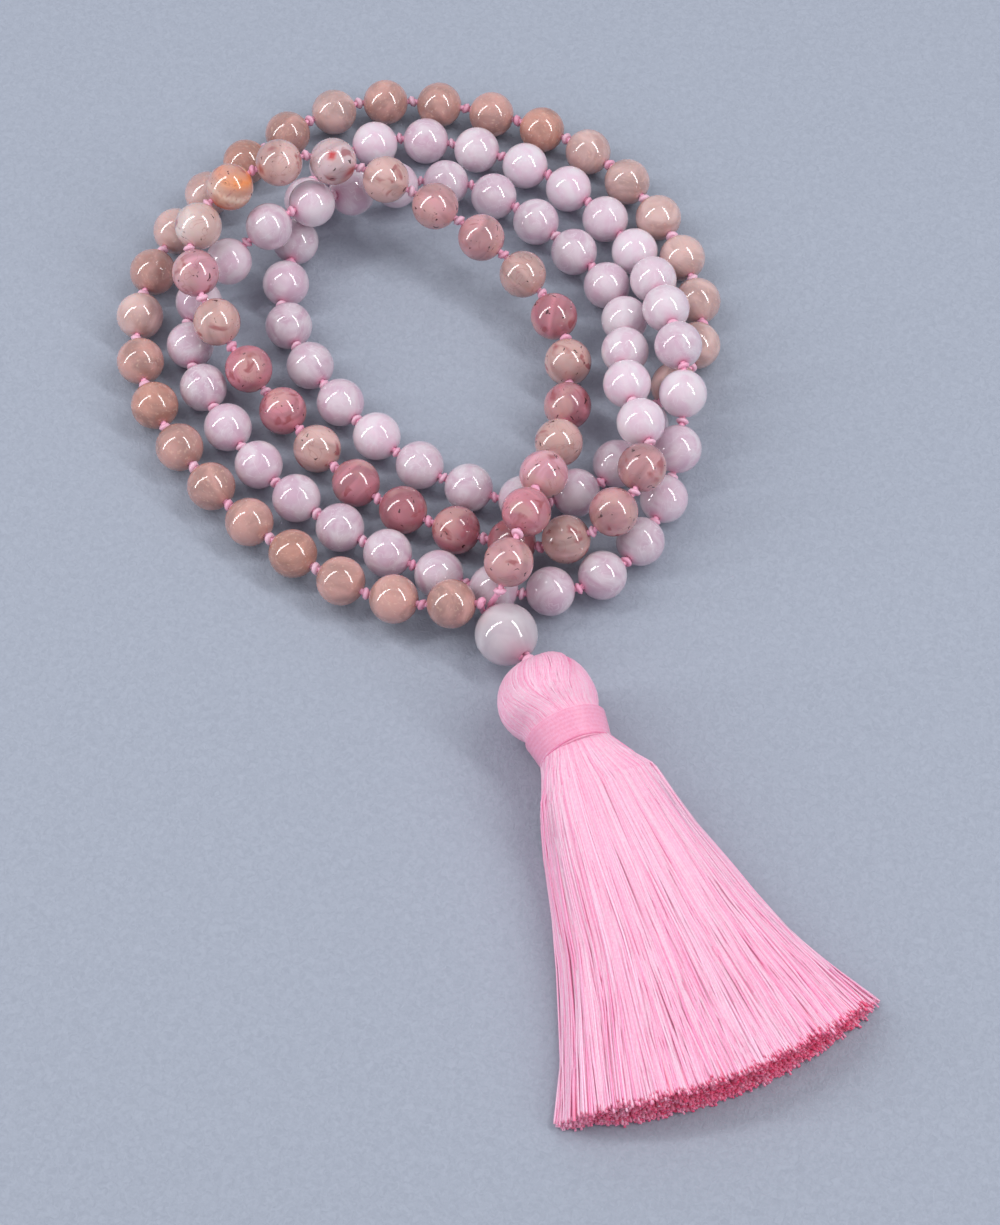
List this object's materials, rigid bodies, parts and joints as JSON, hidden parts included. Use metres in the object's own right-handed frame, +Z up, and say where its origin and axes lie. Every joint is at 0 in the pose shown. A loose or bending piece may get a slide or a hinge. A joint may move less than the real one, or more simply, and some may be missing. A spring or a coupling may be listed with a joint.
{
  "type": "mala prayer beads",
  "caption": "Strand of knotted round stone prayer beads closed by a larger guru bead and a silk tassel, lying in loose turns on a flat surface.",
  "frame": {"origin": "on the table under the centre of the laid out strand and tassel", "axes": "+Y towards the far side of the loops, the tassel points towards -Y, +Z up from the table"},
  "size_m": [0.1197, 0.1951, 0.0219],
  "materials": {
    "sunstone": "polished cloudy peach stone",
    "rose_quartz": "polished milky pink quartz",
    "rhodonite": "polished, veined and mottled pink stone",
    "guru_quartz": "polished milky white quartz",
    "cord_silk": "twisted silk thread with a sheen",
    "tassel_silk": "satin silk threads",
    "wrap_silk": "close winding of satin thread"
  },
  "bodies": {
    "strand": {"sunstone_beads_1": "sunstone", "sunstone_beads_2": "sunstone", "sunstone_beads_3": "sunstone", "sunstone_beads_4": "sunstone", "sunstone_beads_5": "sunstone", "sunstone_beads_6": "sunstone", "sunstone_beads_7": "sunstone", "sunstone_beads_8": "sunstone", "sunstone_beads_9": "sunstone", "rose_quartz_beads_1": "rose_quartz", "rose_quartz_beads_2": "rose_quartz", "rose_quartz_beads_3": "rose_quartz", "rose_quartz_beads_4": "rose_quartz", "rose_quartz_beads_5": "rose_quartz", "rose_quartz_beads_6": "rose_quartz", "rose_quartz_beads_7": "rose_quartz", "rose_quartz_beads_8": "rose_quartz", "rose_quartz_beads_9": "rose_quartz", "stringing_cord": "cord_silk", "sunstone_knots": "cord_silk", "rose_quartz_knots": "cord_silk", "rhodonite_knots": "cord_silk", "guru_cords": "cord_silk"},
    "guru": {"guru_bead": "guru_quartz"},
    "lower_knot": {"guru_lower_knot": "cord_silk"},
    "tassel": {"tassel_hanging_cord": "cord_silk", "tassel_core_knot": "cord_silk", "tassel_head": "tassel_silk", "tassel_inner_tie": "cord_silk", "tassel_neck_wrap": "wrap_silk", "tassel_skirt": "tassel_silk"},
    "rhodonite_bead_01": {"rhodonite_bead_01": "rhodonite"},
    "rhodonite_bead_02": {"rhodonite_bead_02": "rhodonite"},
    "rhodonite_bead_03": {"rhodonite_bead_03": "rhodonite"},
    "rhodonite_bead_04": {"rhodonite_bead_04": "rhodonite"},
    "rhodonite_bead_05": {"rhodonite_bead_05": "rhodonite"},
    "rhodonite_bead_06": {"rhodonite_bead_06": "rhodonite"},
    "rhodonite_bead_07": {"rhodonite_bead_07": "rhodonite"},
    "rhodonite_bead_08": {"rhodonite_bead_08": "rhodonite"},
    "rhodonite_bead_09": {"rhodonite_bead_09": "rhodonite"},
    "rhodonite_bead_10": {"rhodonite_bead_10": "rhodonite"},
    "rhodonite_bead_11": {"rhodonite_bead_11": "rhodonite"},
    "rhodonite_bead_12": {"rhodonite_bead_12": "rhodonite"},
    "rhodonite_bead_13": {"rhodonite_bead_13": "rhodonite"},
    "rhodonite_bead_14": {"rhodonite_bead_14": "rhodonite"},
    "rhodonite_bead_15": {"rhodonite_bead_15": "rhodonite"},
    "rhodonite_bead_16": {"rhodonite_bead_16": "rhodonite"},
    "rhodonite_bead_17": {"rhodonite_bead_17": "rhodonite"},
    "rhodonite_bead_18": {"rhodonite_bead_18": "rhodonite"},
    "rhodonite_bead_19": {"rhodonite_bead_19": "rhodonite"},
    "rhodonite_bead_20": {"rhodonite_bead_20": "rhodonite"},
    "rhodonite_bead_21": {"rhodonite_bead_21": "rhodonite"},
    "rhodonite_bead_22": {"rhodonite_bead_22": "rhodonite"},
    "rhodonite_bead_23": {"rhodonite_bead_23": "rhodonite"},
    "rhodonite_bead_24": {"rhodonite_bead_24": "rhodonite"},
    "rhodonite_bead_25": {"rhodonite_bead_25": "rhodonite"},
    "rhodonite_bead_26": {"rhodonite_bead_26": "rhodonite"},
    "rhodonite_bead_27": {"rhodonite_bead_27": "rhodonite"}
  },
  "joints": [
    {"name": "tassel_swing", "type": "hinge", "parent": "strand", "child": "lower_knot", "pos_m": [0.00961, -0.02216, 0.005], "axis": [0, 0, 1], "range_deg": [-35, 35]},
    {"name": "tassel_lift", "type": "hinge", "parent": "lower_knot", "child": "tassel", "pos_m": [0.00961, -0.02216, 0.005], "axis": [-0.9272, -0.3746, 0], "range_deg": [0, 60]},
    {"name": "turn_guru", "type": "hinge", "parent": "strand", "child": "guru", "pos_m": [0.006, -0.017, 0.005], "axis": [0.5736, -0.8191, 0], "continuous": true},
    {"name": "turn_rhodonite_01", "type": "hinge", "parent": "strand", "child": "rhodonite_bead_01", "pos_m": [0.02769, 0.00951, 0.0126], "axis": [-0.2801, -0.9571, -0.0748], "continuous": true},
    {"name": "turn_rhodonite_02", "type": "hinge", "parent": "strand", "child": "rhodonite_bead_02", "pos_m": [0.02305, 0.00229, 0.01071], "axis": [-0.7271, -0.5981, -0.3372], "continuous": true},
    {"name": "turn_rhodonite_03", "type": "hinge", "parent": "strand", "child": "rhodonite_bead_03", "pos_m": [0.01557, -0.00054, 0.00702], "axis": [-0.8889, -0.0215, -0.4576], "continuous": true},
    {"name": "turn_rhodonite_04", "type": "hinge", "parent": "strand", "child": "rhodonite_bead_04", "pos_m": [0.00688, 0.00047, 0.00441], "axis": [-0.9664, 0.2373, -0.099], "continuous": true},
    {"name": "turn_rhodonite_05", "type": "hinge", "parent": "strand", "child": "rhodonite_bead_05", "pos_m": [-0.00207, 0.00323, 0.00395], "axis": [-0.937, 0.3492, 0], "continuous": true},
    {"name": "turn_rhodonite_06", "type": "hinge", "parent": "strand", "child": "rhodonite_bead_06", "pos_m": [-0.01068, 0.00707, 0.00395], "axis": [-0.8857, 0.4643, 0], "continuous": true},
    {"name": "turn_rhodonite_07", "type": "hinge", "parent": "strand", "child": "rhodonite_bead_07", "pos_m": [-0.01843, 0.01234, 0.00395], "axis": [-0.7571, 0.6533, 0], "continuous": true},
    {"name": "turn_rhodonite_08", "type": "hinge", "parent": "strand", "child": "rhodonite_bead_08", "pos_m": [-0.02496, 0.01909, 0.00395], "axis": [-0.6284, 0.7779, 0], "continuous": true},
    {"name": "turn_rhodonite_09", "type": "hinge", "parent": "strand", "child": "rhodonite_bead_09", "pos_m": [-0.03084, 0.02641, 0.0043], "axis": [-0.6218, 0.7796, 0.0752], "continuous": true},
    {"name": "turn_rhodonite_10", "type": "hinge", "parent": "strand", "child": "rhodonite_bead_10", "pos_m": [-0.03661, 0.03335, 0.00647], "axis": [-0.6047, 0.6969, 0.3857], "continuous": true},
    {"name": "turn_rhodonite_11", "type": "hinge", "parent": "strand", "child": "rhodonite_bead_11", "pos_m": [-0.0419, 0.04013, 0.01034], "axis": [-0.5173, 0.7382, 0.433], "continuous": true},
    {"name": "turn_rhodonite_12", "type": "hinge", "parent": "strand", "child": "rhodonite_bead_12", "pos_m": [-0.04559, 0.04803, 0.01332], "axis": [-0.2653, 0.9433, 0.1996], "continuous": true},
    {"name": "turn_rhodonite_13", "type": "hinge", "parent": "strand", "child": "rhodonite_bead_13", "pos_m": [-0.04546, 0.05679, 0.01476], "axis": [0.3, 0.9476, 0.1095], "continuous": true},
    {"name": "turn_rhodonite_14", "type": "hinge", "parent": "strand", "child": "rhodonite_bead_14", "pos_m": [-0.04038, 0.06383, 0.01637], "axis": [0.786, 0.5717, 0.2353], "continuous": true},
    {"name": "turn_rhodonite_15", "type": "hinge", "parent": "strand", "child": "rhodonite_bead_15", "pos_m": [-0.0322, 0.06776, 0.01795], "axis": [0.9587, 0.2654, 0.1019], "continuous": true},
    {"name": "turn_rhodonite_16", "type": "hinge", "parent": "strand", "child": "rhodonite_bead_16", "pos_m": [-0.02312, 0.06832, 0.01763], "axis": [0.975, -0.1451, -0.1682], "continuous": true},
    {"name": "turn_rhodonite_17", "type": "hinge", "parent": "strand", "child": "rhodonite_bead_17", "pos_m": [-0.01425, 0.06605, 0.01564], "axis": [0.9072, -0.3357, -0.2535], "continuous": true},
    {"name": "turn_rhodonite_18", "type": "hinge", "parent": "strand", "child": "rhodonite_bead_18", "pos_m": [-0.00593, 0.06233, 0.0132], "axis": [0.8532, -0.4498, -0.264], "continuous": true},
    {"name": "turn_rhodonite_19", "type": "hinge", "parent": "strand", "child": "rhodonite_bead_19", "pos_m": [0.00184, 0.05766, 0.01057], "axis": [0.7905, -0.5388, -0.2912], "continuous": true},
    {"name": "turn_rhodonite_20", "type": "hinge", "parent": "strand", "child": "rhodonite_bead_20", "pos_m": [0.00884, 0.05195, 0.00792], "axis": [0.6905, -0.6708, -0.2705], "continuous": true},
    {"name": "turn_rhodonite_21", "type": "hinge", "parent": "strand", "child": "rhodonite_bead_21", "pos_m": [0.01405, 0.0446, 0.00593], "axis": [0.4186, -0.8953, -0.1526], "continuous": true},
    {"name": "turn_rhodonite_22", "type": "hinge", "parent": "strand", "child": "rhodonite_bead_22", "pos_m": [0.01631, 0.0357, 0.00516], "axis": [0.0621, -0.998, -0.012], "continuous": true},
    {"name": "turn_rhodonite_23", "type": "hinge", "parent": "strand", "child": "rhodonite_bead_23", "pos_m": [0.01613, 0.02635, 0.0058], "axis": [-0.0991, -0.9841, 0.1475], "continuous": true},
    {"name": "turn_rhodonite_24", "type": "hinge", "parent": "strand", "child": "rhodonite_bead_24", "pos_m": [0.01455, 0.01741, 0.00811], "axis": [-0.2362, -0.9094, 0.3424], "continuous": true},
    {"name": "turn_rhodonite_25", "type": "hinge", "parent": "strand", "child": "rhodonite_bead_25", "pos_m": [0.01202, 0.00895, 0.01146], "axis": [-0.2992, -0.8816, 0.365], "continuous": true},
    {"name": "turn_rhodonite_26", "type": "hinge", "parent": "strand", "child": "rhodonite_bead_26", "pos_m": [0.00916, 0.00038, 0.01367], "axis": [-0.3086, -0.9453, 0.1059], "continuous": true},
    {"name": "turn_rhodonite_27", "type": "hinge", "parent": "strand", "child": "rhodonite_bead_27", "pos_m": [0.00636, -0.00801, 0.01206], "axis": [-0.2895, -0.8461, -0.4476], "continuous": true}
  ]
}
